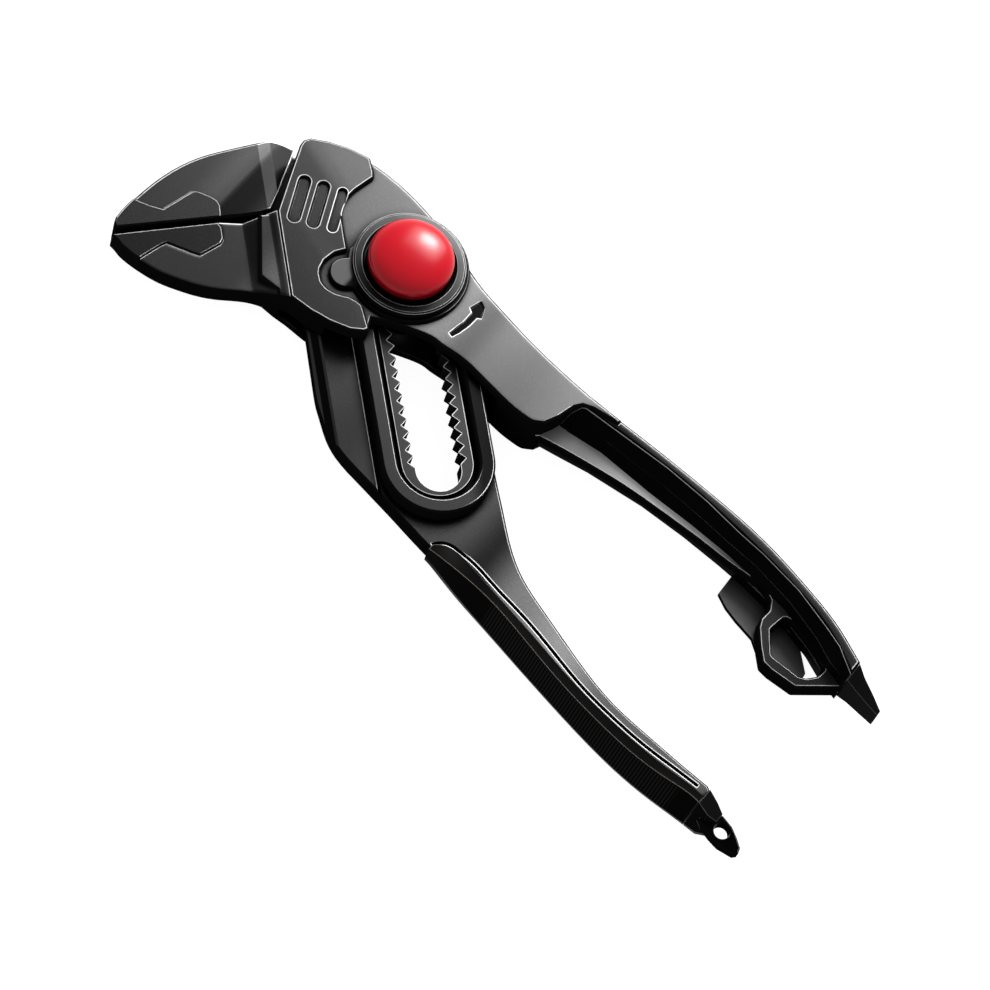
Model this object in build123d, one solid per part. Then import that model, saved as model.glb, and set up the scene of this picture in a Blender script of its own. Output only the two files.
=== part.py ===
"""Water pump pliers with a push-button slot joint, in millimetres, each piece its own part."""

import math
import os

from build123d import *

# Plan sizes
PLAN_SPAN = 100.0  # every plan outline is written as shares of this span
SLOT_TURN = -43.0  # degrees from the tool's long axis to the slot

# Thicknesses, from the back face forward
REAR_CHEEK_THICK = 3.4
SLIDE_GAP = 0.2
ARM_THICK = 6.0
RIM_RISE = 5.0
FRONT_CHEEK_THICK = 3.2
HEAD_PLATE_THICK = 1.6
JAW_THICK = 8.8
INSERT_RISE = 0.6

# Slot, teeth and rim
TOOTH_PITCH = PLAN_SPAN * 0.038
TOOTH_DEPTH = PLAN_SPAN * 0.019
TOOTH_TIP_FLAT = PLAN_SPAN * 0.003
TOOTH_COUNT = 16
SLOT_HALF_WIDTH = PLAN_SPAN * 0.0645
SLOT_BACK = PLAN_SPAN * 0.01
SLOT_END_ROOM = PLAN_SPAN * 0.03
LINER_SIDE_WALL = PLAN_SPAN * 0.037
LINER_END_WALL = PLAN_SPAN * 0.014
LINER_THICK = 6.4
LINER_PROUD = 2.6
LEDGE_WIDTH = PLAN_SPAN * 0.0125
RIM_SIDE_GAP = PLAN_SPAN * 0.015
RIM_END_GAP = PLAN_SPAN * 0.018
RIM_WALL = PLAN_SPAN * 0.0435
PANEL_GROOVE_REACH = PLAN_SPAN * 0.68

# Adjuster
PIN_RADIUS = PLAN_SPAN * 0.05
RUNNING_FIT = 0.05
LOCK_GAP = 0.3
LOCK_THICK = 6.0
LOCK_LENGTH = PLAN_SPAN * 0.06
LOCK_NOTCH = PLAN_SPAN * 0.009
REAR_HEAD_RADIUS = PIN_RADIUS * 1.48
REAR_HEAD_THICK = 1.7
REAR_HEAD_GAP = 0.3
REAR_SHANK_RADIUS = PIN_RADIUS * 0.44
REAR_SHANK_LENGTH = 2.0
SPANNER_HOLE_RADIUS = PIN_RADIUS * 0.2
SPANNER_HOLE_OFFSET = PIN_RADIUS * 0.92
SPANNER_HOLE_DEPTH = 0.8
PIN_TOP_DROP = 0.1
RETAINER_OUTER = PIN_RADIUS * 1.5
RETAINER_THICK = 0.8
RETAINER_LIFT = 0.1
RETAINER_GROOVE = 0.6
RETAINER_MOUTH = 5.0

# Button and its housing
BUTTON_RADIUS = PLAN_SPAN * 0.1225
BUTTON_SIDE_GAP = 0.35
BUTTON_SKIRT_FOOT = 1.4
BUTTON_SKIRT_TOP = 6.2
BUTTON_DOME_TOP = 11.4
BUTTON_WALL = 1.4
BUTTON_ROOF_UNDER = 7.4
BUTTON_TRAVEL = 2.5
STEM_RADIUS = PIN_RADIUS * 0.58
STEM_GAP = 0.1
STEM_FOOT = 5.5
STEM_FLANGE_RADIUS = PIN_RADIUS
STEM_FLANGE_THICK = 0.8
SPRING_RADIUS = PIN_RADIUS * 0.46
SPRING_WIRE_RADIUS = 0.35
SPRING_PITCH = 1.3
SPRING_SEAT = 5.0
COLLAR_WALL = 2.8
POCKET_DEPTH = 1.4
FLANGE_OVERHANG = 2.0
FLANGE_THICK = 1.3
FLANGE_FLAT_SHARE = 0.914
TAB_TURN = -131.0  # degrees, the way the tab points
TAB_HALF_WIDTH = PLAN_SPAN * 0.046
TAB_OVERHANG = 2.8
TAB_THICK = 1.7
BEZEL_SIDE_GAP = 0.3
BEZEL_WALL = 3.4
BEZEL_DRAFT = 0.5
BEZEL_MOUTH = 0.7
BEZEL_THICK = 2.1
OVAL_PULL = 0.5523  # how far an oval's quarter pulls toward its corner
EASED_ANGLE = 25.0  # degrees, runs meeting flatter than this are made to flow on

# Fasteners
CHEEK_SCREW_RADIUS = PLAN_SPAN * 0.018
CHEEK_HEAD_RADIUS = PLAN_SPAN * 0.03
CHEEK_HEAD_THICK = 1.5
CHEEK_HEAD_SINK = 0.3
CHEEK_SCREW_LENGTH = 8.0
CHEEK_SOCKET_RADIUS = PLAN_SPAN * 0.013
CHEEK_SOCKET_DEPTH = 0.8
DOWEL_RADIUS = PLAN_SPAN * 0.01
DOWEL_LENGTH = 2.4

# Handles
HANDLE_FOOT = 3.0
HANDLE_TOP = 17.0
BLADE_TOP = 10.5
BLADE_THICK = 3.1
LOOP_THICK = 6.0
LOOP_CORNER = PLAN_SPAN * 0.012
RIDGE_A_HEIGHT = 14.0
LEFT_RIDGE_RISE = 3.4
LEFT_FOOT_DROP = 2.4
LEFT_FLANK_HEIGHT = 5.5
LEFT_GROOVE_LIFT = 0.3
STRIP_GROOVE_WIDTH = PLAN_SPAN * 0.01
STRIP_GROOVE_DEPTH = 0.8

# Lanyard lug
LUG_THICK = 3.2
LUG_HOLE_RADIUS = PLAN_SPAN * 0.022
LUG_FOOT = 6.6

# Backing plate behind the loop
BACKING_THICK = 1.7
BACKING_RIVET_RADIUS = PLAN_SPAN * 0.012
BACKING_RIVET_LENGTH = 3.0
BACKING_RIVET_HEAD_RADIUS = PLAN_SPAN * 0.021
BACKING_RIVET_HEAD_THICK = 0.7

# Engraving
ENGRAVE_DEPTH = 0.5
MOTIF_DEPTH = 1.0
MOTIF_LENGTH = PLAN_SPAN * 0.15
MOTIF_WIDTH = PLAN_SPAN * 0.03
MOTIF_STEP = PLAN_SPAN * 0.056
MOTIF_TURN = -66.0

# Serrations on the biting faces
BITE_PITCH = PLAN_SPAN * 0.022
BITE_WIDTH = PLAN_SPAN * 0.013
BITE_END_LAND = 1.0
BITE_COUNT = 12

# Edge breaks
JAW_EDGE = PLAN_SPAN * 0.007
JAW_FOOT_EDGE = PLAN_SPAN * 0.012
JAW_BELLY_EDGE = PLAN_SPAN * 0.02
INSERT_EDGE = PLAN_SPAN * 0.004
ARM_EDGE = PLAN_SPAN * 0.006
RIM_EDGE = PLAN_SPAN * 0.006
CHEEK_EDGE = PLAN_SPAN * 0.007
HEAD_EDGE = PLAN_SPAN * 0.006
PLATE_EDGE = PLAN_SPAN * 0.005
SMALL_EDGE = PLAN_SPAN * 0.003
ARM_BEVEL_WIDTH = PLAN_SPAN * 0.044
ARM_BEVEL_DROP = 2.0
PANEL_GROOVE_WIDTH = PLAN_SPAN * 0.01
PANEL_GROOVE_DEPTH = 1.0

# Plan sizes that follow from others
SLOT_REACH = TOOTH_PITCH * (TOOTH_COUNT - 1) + SLOT_END_ROOM
LINER_HALF_WIDTH = SLOT_HALF_WIDTH + LINER_SIDE_WALL
LINER_REACH = SLOT_REACH + SLOT_HALF_WIDTH + LINER_END_WALL - LINER_HALF_WIDTH
LEDGE_HALF_WIDTH = LINER_HALF_WIDTH - LEDGE_WIDTH
RIM_INNER_HALF = LINER_HALF_WIDTH + RIM_SIDE_GAP
RIM_REACH = LINER_REACH + LINER_HALF_WIDTH + RIM_END_GAP - RIM_INNER_HALF
RIM_OUTER_HALF = RIM_INNER_HALF + RIM_WALL
HOUSING_BORE_RADIUS = BUTTON_RADIUS + BUTTON_SIDE_GAP
POCKET_RADIUS = HOUSING_BORE_RADIUS + COLLAR_WALL
FLANGE_RADIUS = POCKET_RADIUS + FLANGE_OVERHANG
FLANGE_FLAT = FLANGE_RADIUS * FLANGE_FLAT_SHARE
TAB_REACH = POCKET_RADIUS + TAB_OVERHANG
BEZEL_BORE_RADIUS = HOUSING_BORE_RADIUS + BEZEL_SIDE_GAP
BEZEL_MOUTH_RADIUS = BEZEL_BORE_RADIUS + BEZEL_MOUTH
BEZEL_FOOT_RADIUS = BEZEL_BORE_RADIUS + BEZEL_WALL
BEZEL_TOP_RADIUS = BEZEL_FOOT_RADIUS - BEZEL_DRAFT

# Heights that follow from the thicknesses
ARM_FOOT = REAR_CHEEK_THICK + SLIDE_GAP
ARM_TOP = ARM_FOOT + ARM_THICK
RIM_TOP = ARM_TOP + RIM_RISE
FRONT_FOOT = RIM_TOP + SLIDE_GAP
FRONT_TOP = FRONT_FOOT + FRONT_CHEEK_THICK
HEAD_TOP = FRONT_TOP + HEAD_PLATE_THICK
JOINT_MIDDLE = FRONT_TOP / 2
JAW_FOOT = JOINT_MIDDLE - JAW_THICK / 2
JAW_TOP = JOINT_MIDDLE + JAW_THICK / 2
LINER_TOP = ARM_TOP + LINER_PROUD
LINER_FOOT = LINER_TOP - LINER_THICK
POCKET_FLOOR = FRONT_TOP - POCKET_DEPTH
FLANGE_TOP = FRONT_TOP + FLANGE_THICK
BEZEL_TOP = FLANGE_TOP + BEZEL_THICK
REACH_BEYOND = PLAN_SPAN
TALL = PLAN_SPAN

# Slotted member outlines
BITE_UPPER_SHARES = [(-0.502, -0.209), (-0.700, -0.437)]
UPPER_NOSE_SHARES = [(-0.700, -0.437), (-0.713, -0.430), (-0.720, -0.414), (-0.722, -0.392)]
UPPER_BACK_SHARES = [(-0.722, -0.392), (-0.722, -0.331), (-0.704, -0.192), (-0.671, -0.098),
                     (-0.609, 0.006), (-0.535, 0.098), (-0.494, 0.120)]
UPPER_SIDE_SHARES = [(-0.494, 0.120), (-0.486, 0.099), (-0.453, 0.008), (-0.413, -0.092)]
UPPER_THROAT_SHARES = [(-0.413, -0.092), (-0.430, -0.124), (-0.462, -0.163), (-0.502, -0.209)]
UPPER_INSERT_SHARES = [(-0.502, -0.209), (-0.760, -0.512), (-0.790, -0.354),
                       (-0.674, -0.318), (-0.640, -0.302), (-0.625, -0.245),
                       (-0.615, -0.202), (-0.606, -0.192), (-0.568, -0.179), (-0.543, -0.176),
                       (-0.525, -0.184)]
ARM_CROWN_SHARES = [(-0.478, 0.110), (-0.300, 0.118), (-0.110, 0.140), (-0.030, 0.162),
                    (0.030, 0.161), (0.080, 0.143), (0.112, 0.120)]
ARM_RIGHT_SHARES = [(0.112, 0.120), (0.560, -0.297)]
NECK_RIGHT_SHARES = [(0.560, -0.297), (0.648, -0.374), (0.704, -0.424), (0.755, -0.464),
                     (0.806, -0.495), (0.868, -0.521), (0.933, -0.543), (1.062, -0.586),
                     (1.221, -0.627), (1.362, -0.639), (1.466, -0.645), (1.566, -0.648)]
STRIP_END_SHARES = [(1.566, -0.648), (1.612, -0.676), (1.590, -0.712)]
ARM_LEFT_SHARES = [(1.590, -0.712), (1.480, -0.714), (1.360, -0.706), (1.220, -0.690),
                   (1.060, -0.660), (0.900, -0.630), (0.760, -0.612), (0.640, -0.608),
                   (0.570, -0.602), (0.438, -0.580), (0.270, -0.553), (0.190, -0.537),
                   (0.140, -0.516), (0.080, -0.475), (0.020, -0.426)]
TONGUE_SHARES = [(0.020, -0.426), (-0.140, -0.272), (-0.413, -0.092), (-0.470, -0.110),
                 (-0.540, 0.040), (-0.500, 0.090), (-0.478, 0.110)]
STRIP_GROOVE_SHARES = [(0.560, -0.590), (0.575, -0.569), (0.601, -0.556), (0.632, -0.555),
                       (0.661, -0.555), (0.767, -0.572), (0.868, -0.588), (0.975, -0.611),
                       (1.138, -0.650), (1.247, -0.664), (1.353, -0.671), (1.448, -0.670),
                       (1.545, -0.668)]
JAW_RAMP_SHARES = [(-0.360, 0.0), (-0.323, -0.006), (-0.260, -0.030), (-0.160, -0.050)]
PANEL_EDGE_SHARE = -0.262
PANEL_GROOVE_SHARE = -0.174

# Box member outlines
BITE_LOWER_SHARES = [(-0.694, -0.462), (-0.498, -0.230)]
LOWER_THROAT_SHARES = [(-0.498, -0.230), (-0.443, -0.184), (-0.420, -0.156), (-0.385, -0.115)]
LOWER_ROOT_SHARES = [(-0.385, -0.115), (-0.187, -0.302)]
LOWER_BELLY_SHARES = [(-0.187, -0.302), (-0.279, -0.331), (-0.318, -0.355), (-0.362, -0.389),
                      (-0.411, -0.419), (-0.464, -0.442), (-0.521, -0.461), (-0.582, -0.470),
                      (-0.621, -0.472), (-0.659, -0.469), (-0.686, -0.463)]
LOWER_NOSE_SHARES = [(-0.686, -0.463), (-0.694, -0.462)]
LOWER_INSERT_SHARES = [(-0.498, -0.230), (-0.478, -0.236), (-0.454, -0.260), (-0.449, -0.278),
                       (-0.469, -0.346), (-0.497, -0.357), (-0.563, -0.379), (-0.571, -0.400),
                       (-0.586, -0.462), (-0.590, -0.520), (-0.740, -0.520), (-0.694, -0.462)]
FRONT_HEAD_SHARES = [(-0.385, -0.115), (-0.437, 0.012), (-0.470, 0.096), (-0.472, 0.116),
                     (-0.460, 0.136), (-0.415, 0.163), (-0.360, 0.185), (-0.290, 0.198)]
FRONT_BACK_SHARES = [(-0.290, 0.198), (-0.221, 0.202), (-0.145, 0.197), (-0.053, 0.180),
                     (0.040, 0.154), (0.121, 0.124), (0.183, 0.102), (0.268, 0.083),
                     (0.439, 0.053), (0.607, 0.037), (0.740, 0.034)]
SHOULDER_END_SHARES = [(0.740, 0.034), (0.740, 0.018), (0.658, 0.008), (0.629, -0.004),
                       (0.614, -0.026), (0.601, -0.079), (0.582, -0.123), (0.562, -0.137)]
FRONT_BELLY_SHARES = [(0.562, -0.137), (0.525, -0.145), (0.479, -0.145), (0.426, -0.139),
                      (0.350, -0.128), (0.274, -0.122), (0.213, -0.127), (0.121, -0.147)]
FRONT_LOBE_SHARES = [(0.121, -0.147), (0.066, -0.168), (0.020, -0.194), (0.039, -0.232),
                     (0.033, -0.248), (0.000, -0.271), (-0.057, -0.290), (-0.120, -0.300),
                     (-0.187, -0.302), (-0.240, -0.303), (-0.295, -0.303), (-0.420, -0.150),
                     (-0.385, -0.115)]
REAR_LOBE_SHARES = [(0.121, -0.147), (0.066, -0.168), (0.020, -0.194), (0.039, -0.232),
                    (0.033, -0.248), (0.000, -0.271), (-0.057, -0.291), (-0.120, -0.295),
                    (-0.180, -0.293), (-0.230, -0.295), (-0.295, -0.292), (-0.420, -0.150),
                    (-0.385, -0.115)]
CAVITY_SHARES = [(-0.620, 0.028), (-0.420, -0.104), (-0.243, -0.219), (-0.208, -0.310),
                 (-0.208, -0.700), (0.820, -0.430), (0.500, -0.190), (0.400, -0.110),
                 (0.260, -0.002), (0.137, 0.112), (0.124, 0.125), (0.124, 0.400),
                 (-0.620, 0.400)]
RIM_ROOM_SHARES = [(-0.630, 0.350), (-0.148, -0.103), (-0.040, -0.355), (0.105, -0.690),
                   (0.820, -0.430), (0.500, -0.190), (0.400, -0.110), (0.260, -0.002),
                   (0.137, 0.112), (0.124, 0.125), (0.124, 0.400), (-0.620, 0.400)]
HEAD_FILL_SHARE = 0.41
BOX_RAMP_SHARES = [(-0.440, 0.0), (-0.345, 1.0)]
HEAD_PLATE_SHARES = [(-0.385, -0.115), (-0.437, 0.012), (-0.470, 0.096), (-0.472, 0.116),
                     (-0.460, 0.136), (-0.415, 0.163), (-0.360, 0.186), (-0.305, 0.199),
                     (-0.294, 0.199), (-0.259, 0.170), (-0.249, 0.157), (-0.256, 0.124),
                     (-0.263, 0.087), (-0.264, 0.055), (-0.256, 0.027), (-0.247, 0.006),
                     (-0.225, -0.017), (-0.167, -0.072), (-0.161, -0.077), (-0.181, -0.109),
                     (-0.187, -0.147), (-0.180, -0.175), (-0.170, -0.190), (-0.152, -0.205),
                     (-0.130, -0.211), (-0.104, -0.208), (-0.082, -0.198), (-0.065, -0.189),
                     (-0.038, -0.185), (-0.024, -0.185), (-0.010, -0.194), (0.039, -0.232),
                     (0.033, -0.247), (0.000, -0.271), (-0.057, -0.290), (-0.120, -0.300),
                     (-0.187, -0.302)]
ARROW_SHARES = [(0.210, -0.082), (0.224, -0.086), (0.233, -0.060), (0.240, -0.022),
                (0.241, 0.010), (0.251, 0.016), (0.238, 0.050), (0.217, 0.062), (0.206, 0.022),
                (0.219, 0.014), (0.219, -0.026), (0.213, -0.058)]
MOTIF_CENTRE_SHARES = (-0.311, -0.020)
CHEEK_SCREW_SHARES = [(-0.345, -0.185), (-0.280, -0.246), (0.340, -0.012), (0.500, -0.052)]
DOWEL_SHARES = [(-0.360, 0.090), (-0.100, -0.255)]

# Right handle outlines
CORE_OUTER_SHARES = [(0.600, 0.037), (0.840, 0.038), (1.070, 0.032), (1.256, 0.018),
                     (1.456, -0.021), (1.579, -0.057), (1.680, -0.102)]
CORE_INNER_SHARES = [(1.680, -0.150), (1.608, -0.108), (1.423, -0.047), (1.195, -0.012),
                     (0.923, 0.007), (0.746, 0.005), (0.600, 0.000)]
# each row: along, outer ridge, inner ridge, wall above the blade, wall below the blade
RIGHT_GRIP_SHARES = [(0.570, 0.001, -0.029, -0.062, -0.118),
                     (0.640, 0.001, -0.029, -0.060, -0.106),
                     (0.746, 0.004, -0.028, -0.048, -0.086),
                     (0.923, 0.009, -0.028, -0.055, -0.066),
                     (1.070, 0.002, -0.034, -0.054, -0.062),
                     (1.195, -0.014, -0.045, -0.058, -0.065),
                     (1.284, -0.021, -0.050, -0.066, -0.070),
                     (1.423, -0.043, -0.075, -0.086, -0.089),
                     (1.547, -0.081, -0.114, -0.122, -0.125),
                     (1.608, -0.103, -0.144, -0.149, -0.152),
                     (1.680, -0.150, -0.166, -0.170, -0.173)]
BLADE_SHARES = [(0.560, -0.030), (0.700, -0.020), (0.930, -0.008), (1.070, -0.016),
                (1.200, -0.030), (1.300, -0.040), (1.430, -0.062), (1.560, -0.100),
                (1.640, -0.140), (1.685, -0.163), (1.580, -0.255), (1.499, -0.259),
                (1.468, -0.255), (1.434, -0.221), (1.398, -0.177), (1.387, -0.151),
                (1.390, -0.116), (1.375, -0.088), (1.355, -0.078)]
BLADE_LOWER_SHARES = [(1.355, -0.078), (1.251, -0.074), (1.126, -0.075),
                      (0.990, -0.079), (0.859, -0.086), (0.740, -0.101), (0.640, -0.117),
                      (0.560, -0.133)]
LOOP_SHARES = [(1.375, -0.070), (1.430, -0.062), (1.560, -0.100), (1.640, -0.140),
               (1.685, -0.163), (1.580, -0.255), (1.499, -0.259), (1.468, -0.255),
               (1.434, -0.221), (1.398, -0.177), (1.387, -0.151), (1.390, -0.116),
               (1.375, -0.088)]
LOOP_CORNER_SPAN = (1.382, 1.600)
WINDOW_SHARES = [(1.436, -0.103), (1.431, -0.135), (1.427, -0.159), (1.475, -0.221),
                 (1.569, -0.221), (1.588, -0.212), (1.609, -0.186), (1.613, -0.158),
                 (1.600, -0.142), (1.518, -0.114), (1.458, -0.099)]
# each row: along, outer edge, inner edge, foot height share, top height share
RIGHT_CAP_SHARES = [(1.681, -0.103, -0.167, 0.045, 0.160),
                    (1.715, -0.122, -0.171, 0.055, 0.148),
                    (1.765, -0.146, -0.179, 0.062, 0.140),
                    (1.805, -0.168, -0.184, 0.066, 0.134)]

# Left handle rows: along, groove, ridge, flank, foot, then ridge rise and foot drop shares
LEFT_GRIP_SHARES = [(0.562, -0.590, -0.608, -0.614, -0.611, 0.10, 0.10),
                    (0.620, -0.562, -0.612, -0.626, -0.620, 0.45, 0.50),
                    (0.700, -0.573, -0.619, -0.648, -0.636, 0.80, 0.90),
                    (0.800, -0.593, -0.632, -0.670, -0.655, 1.00, 1.00),
                    (0.940, -0.620, -0.662, -0.699, -0.683, 1.00, 1.00),
                    (1.080, -0.650, -0.694, -0.726, -0.710, 1.00, 1.00),
                    (1.220, -0.671, -0.716, -0.750, -0.734, 1.00, 1.00),
                    (1.360, -0.682, -0.728, -0.766, -0.750, 1.00, 1.00),
                    (1.480, -0.682, -0.722, -0.768, -0.752, 0.95, 1.00),
                    (1.575, -0.684, -0.718, -0.764, -0.750, 0.80, 0.90)]
LEFT_CAP_SHARES = [(1.577, -0.655, -0.718, -0.764, -0.750, 0.80, 0.90),
                   (1.615, -0.672, -0.728, -0.762, -0.752, 0.55, 0.70),
                   (1.645, -0.690, -0.722, -0.746, -0.740, 0.20, 0.30)]
LUG_SHARES = [(1.600, -0.700), (1.650, -0.692), (1.686, -0.701), (1.715, -0.718),
              (1.739, -0.736), (1.744, -0.752), (1.735, -0.762), (1.689, -0.769),
              (1.655, -0.763), (1.600, -0.745)]
LUG_HOLE_SHARES = (1.672, -0.731)

# Backing plate outline and rivets
BACKING_SHARES = [(1.242, -0.030), (1.246, -0.132), (1.287, -0.153), (1.331, -0.166),
                  (1.398, -0.180), (1.440, -0.210), (1.530, -0.222), (1.580, -0.200),
                  (1.575, -0.165), (1.512, -0.106), (1.480, -0.066), (1.400, -0.045)]
BACKING_RIVET_SHARES = [(1.275, -0.044), (1.345, -0.053)]


def placed(shares):
    """Plan points in millimetres from outline shares."""
    return [(along * PLAN_SPAN, across * PLAN_SPAN) for along, across in shares]


def spot(shares):
    """One plan point in millimetres."""
    along, across = shares
    return (along * PLAN_SPAN, across * PLAN_SPAN)


def polygon(shares):
    """A flat face with straight sides."""
    return make_face(Polyline(*placed(shares), close=True))


def heading(first, second):
    return (Vector(*second) - Vector(*first)).normalized()


def eased(neighbour, own):
    """The neighbour's heading where the line nearly carries on, or else the run's own."""
    return neighbour if neighbour.get_angle(own) < EASED_ANGLE else own


def smooth_face(*runs):
    """A flat face from runs of shares in order, each named straight or curved."""
    lines = [(kind, placed(shares)) for kind, shares in runs]
    edges = []
    for index, (kind, points) in enumerate(lines):
        if kind == "straight":
            edges += [Line(first, second) for first, second in zip(points, points[1:])]
            continue
        before = lines[index - 1][1]
        after = lines[(index + 1) % len(lines)][1]
        start = eased(heading(before[-2], before[-1]), heading(points[0], points[1]))
        finish = eased(heading(after[0], after[1]), heading(points[-2], points[-1]))
        edges.append(Spline(*points, tangents=(start, finish)))
    return Face(Wire(edges))


def block(face, low, high):
    """The face raised from one height to the other."""
    return extrude(Pos(0, 0, low) * face, high - low, dir=Vector(0, 0, 1))


def top_edges(solid):
    return solid.faces().sort_by(Axis.Z)[-1].edges()


def foot_edges(solid):
    return solid.faces().sort_by(Axis.Z)[0].edges()


def opening_edges(solid):
    """The edges round the openings in the top face."""
    rims = solid.faces().sort_by(Axis.Z)[-1].inner_wires()
    return [edge for rim in rims for edge in rim.edges()]


def broken(solid, size):
    """The solid with its top edges chamfered."""
    return chamfer(top_edges(solid), size)


def slot_frame(shape):
    """A shape drawn along the slot, turned into place about the pivot."""
    return Rot(0, 0, SLOT_TURN) * shape


def racetrack(back, reach, half_width):
    """Two half circles joined by straight sides, its long axis along the slot."""
    middle = Pos((reach - back) / 2, 0) * Rectangle(reach + back, half_width * 2)
    return middle + Pos(-back, 0) * Circle(half_width) + Pos(reach, 0) * Circle(half_width)


def along_slot(points):
    """A prism running along the slot from points of across and height."""
    face = Plane.YZ * make_face(Polyline(*points, close=True))
    return slot_frame(extrude(face, REACH_BEYOND, both=True))


def round_bar(radius, low, high):
    return Pos(0, 0, low) * Cylinder(radius, high - low, align=(Align.CENTER, Align.CENTER, Align.MIN))


def at(shares, shape):
    along, across = spot(shares)
    return Pos(along, across, 0) * shape


def bite_grooves(bite_shares, low, high):
    """Square bars on edge along a biting line, cutting its serrations."""
    (start_along, start_across), (end_along, end_across) = placed(bite_shares)
    reach = math.hypot(end_along - start_along, end_across - start_across)
    bars = []
    for number in range(BITE_COUNT):
        share = (number + 1) * BITE_PITCH / reach
        along = start_along + (end_along - start_along) * share
        across = start_across + (end_across - start_across) * share
        turn = math.degrees(math.atan2(end_across - start_across, end_along - start_along))
        bar = extrude(Rot(0, 0, turn + 45) * Rectangle(BITE_WIDTH, BITE_WIDTH), high - low)
        bars.append(Pos(along, across, low) * bar)
    return bars


# Slotted member
def upper_jaw_face():
    return smooth_face(
        ("straight", BITE_UPPER_SHARES),
        ("straight", UPPER_NOSE_SHARES),
        ("curved", UPPER_BACK_SHARES),
        ("straight", UPPER_SIDE_SHARES),
        ("straight", UPPER_THROAT_SHARES),
    )


def slotted_arm_with_upper_jaw():
    jaw_face = upper_jaw_face()
    jaw = broken(block(jaw_face, JAW_FOOT, JAW_TOP), JAW_EDGE)
    jaw = chamfer(foot_edges(jaw), JAW_FOOT_EDGE)
    ramp = [(across * PLAN_SPAN, JAW_TOP + drop * PLAN_SPAN) for across, drop in JAW_RAMP_SHARES]
    jaw -= along_slot([*ramp, (ramp[-1][0], TALL), (ramp[0][0], TALL)])
    jaw -= upper_jaw_insert_blank()
    arm_face = smooth_face(
        ("curved", ARM_CROWN_SHARES),
        ("straight", ARM_RIGHT_SHARES),
        ("curved", NECK_RIGHT_SHARES),
        ("straight", STRIP_END_SHARES),
        ("curved", ARM_LEFT_SHARES),
        ("straight", TONGUE_SHARES),
    )
    arm = broken(block(arm_face, ARM_FOOT, ARM_TOP), ARM_EDGE)
    edge = PANEL_EDGE_SHARE * PLAN_SPAN
    arm -= along_slot([(edge, ARM_TOP), (edge - ARM_BEVEL_WIDTH, ARM_TOP - ARM_BEVEL_DROP),
                       (edge - ARM_BEVEL_WIDTH, TALL), (edge, TALL)]) & block(
        polygon([(-0.2, -0.6), (0.30, -0.6), (0.30, 0.1), (-0.2, 0.1)]), ARM_FOOT, TALL)
    groove = PANEL_GROOVE_SHARE * PLAN_SPAN
    groove_cut = along_slot([(groove, ARM_TOP - PANEL_GROOVE_DEPTH), (groove, TALL),
                             (groove + PANEL_GROOVE_WIDTH, TALL),
                             (groove + PANEL_GROOVE_WIDTH, ARM_TOP - PANEL_GROOVE_DEPTH)])
    groove_box = slot_frame(block(Pos(PANEL_GROOVE_REACH / 2, 0) * Rectangle(PANEL_GROOVE_REACH, PLAN_SPAN),
                                  ARM_FOOT, TALL))
    arm -= groove_cut & groove_box
    arm += jaw
    arm -= slot_frame(block(racetrack(SLOT_BACK, LINER_REACH, LINER_HALF_WIDTH), LINER_FOOT, TALL))
    arm -= slot_frame(block(racetrack(SLOT_BACK, LINER_REACH, LEDGE_HALF_WIDTH), 0, TALL))
    line = Spline(*placed(STRIP_GROOVE_SHARES))
    strip = trace(line, STRIP_GROOVE_WIDTH)
    arm -= block(strip, ARM_TOP - STRIP_GROOVE_DEPTH, TALL)
    return arm


def upper_jaw_insert_blank():
    return block(polygon(UPPER_INSERT_SHARES), 0, TALL)


def upper_jaw_insert():
    insert = block(upper_jaw_face() & polygon(UPPER_INSERT_SHARES), JAW_FOOT, JAW_TOP + INSERT_RISE)
    insert = broken(insert, INSERT_EDGE)
    for bar in bite_grooves(BITE_UPPER_SHARES, JAW_FOOT + BITE_END_LAND, JAW_TOP - BITE_END_LAND):
        insert -= bar
    return insert


def slot_rim():
    rim = slot_frame(block(racetrack(SLOT_BACK, RIM_REACH, RIM_OUTER_HALF)
                           - racetrack(SLOT_BACK, RIM_REACH, RIM_INNER_HALF), ARM_TOP, RIM_TOP))
    return broken(rim, RIM_EDGE)


def toothed_slot_liner():
    opening = racetrack(SLOT_BACK, SLOT_REACH, SLOT_HALF_WIDTH)
    half = TOOTH_PITCH / 2 - TOOTH_TIP_FLAT / 2
    for number in range(TOOTH_COUNT):
        middle = number * TOOTH_PITCH
        for side in (1, -1):
            notch = Polyline((middle - half, 0), (middle - half, side * SLOT_HALF_WIDTH),
                             (middle, side * (SLOT_HALF_WIDTH + TOOTH_DEPTH)),
                             (middle + half, side * SLOT_HALF_WIDTH), (middle + half, 0), close=True)
            opening += make_face(notch)
    ring = racetrack(SLOT_BACK, LINER_REACH, LINER_HALF_WIDTH) - opening
    return slot_frame(block(ring, LINER_FOOT, LINER_TOP))


# Adjuster
def pivot_pin():
    pin = round_bar(PIN_RADIUS, REAR_HEAD_THICK, FRONT_TOP - PIN_TOP_DROP)
    pin -= round_bar(STEM_RADIUS + STEM_GAP, SPRING_SEAT, TALL)
    pin -= round_bar(REAR_SHANK_RADIUS, 0, REAR_HEAD_THICK + REAR_SHANK_LENGTH)
    groove_foot = POCKET_FLOOR + RETAINER_LIFT
    groove = round_bar(PIN_RADIUS * 2, groove_foot, groove_foot + RETAINER_THICK)
    groove -= round_bar(PIN_RADIUS - RETAINER_GROOVE, groove_foot, groove_foot + RETAINER_THICK)
    return pin - groove


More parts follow.
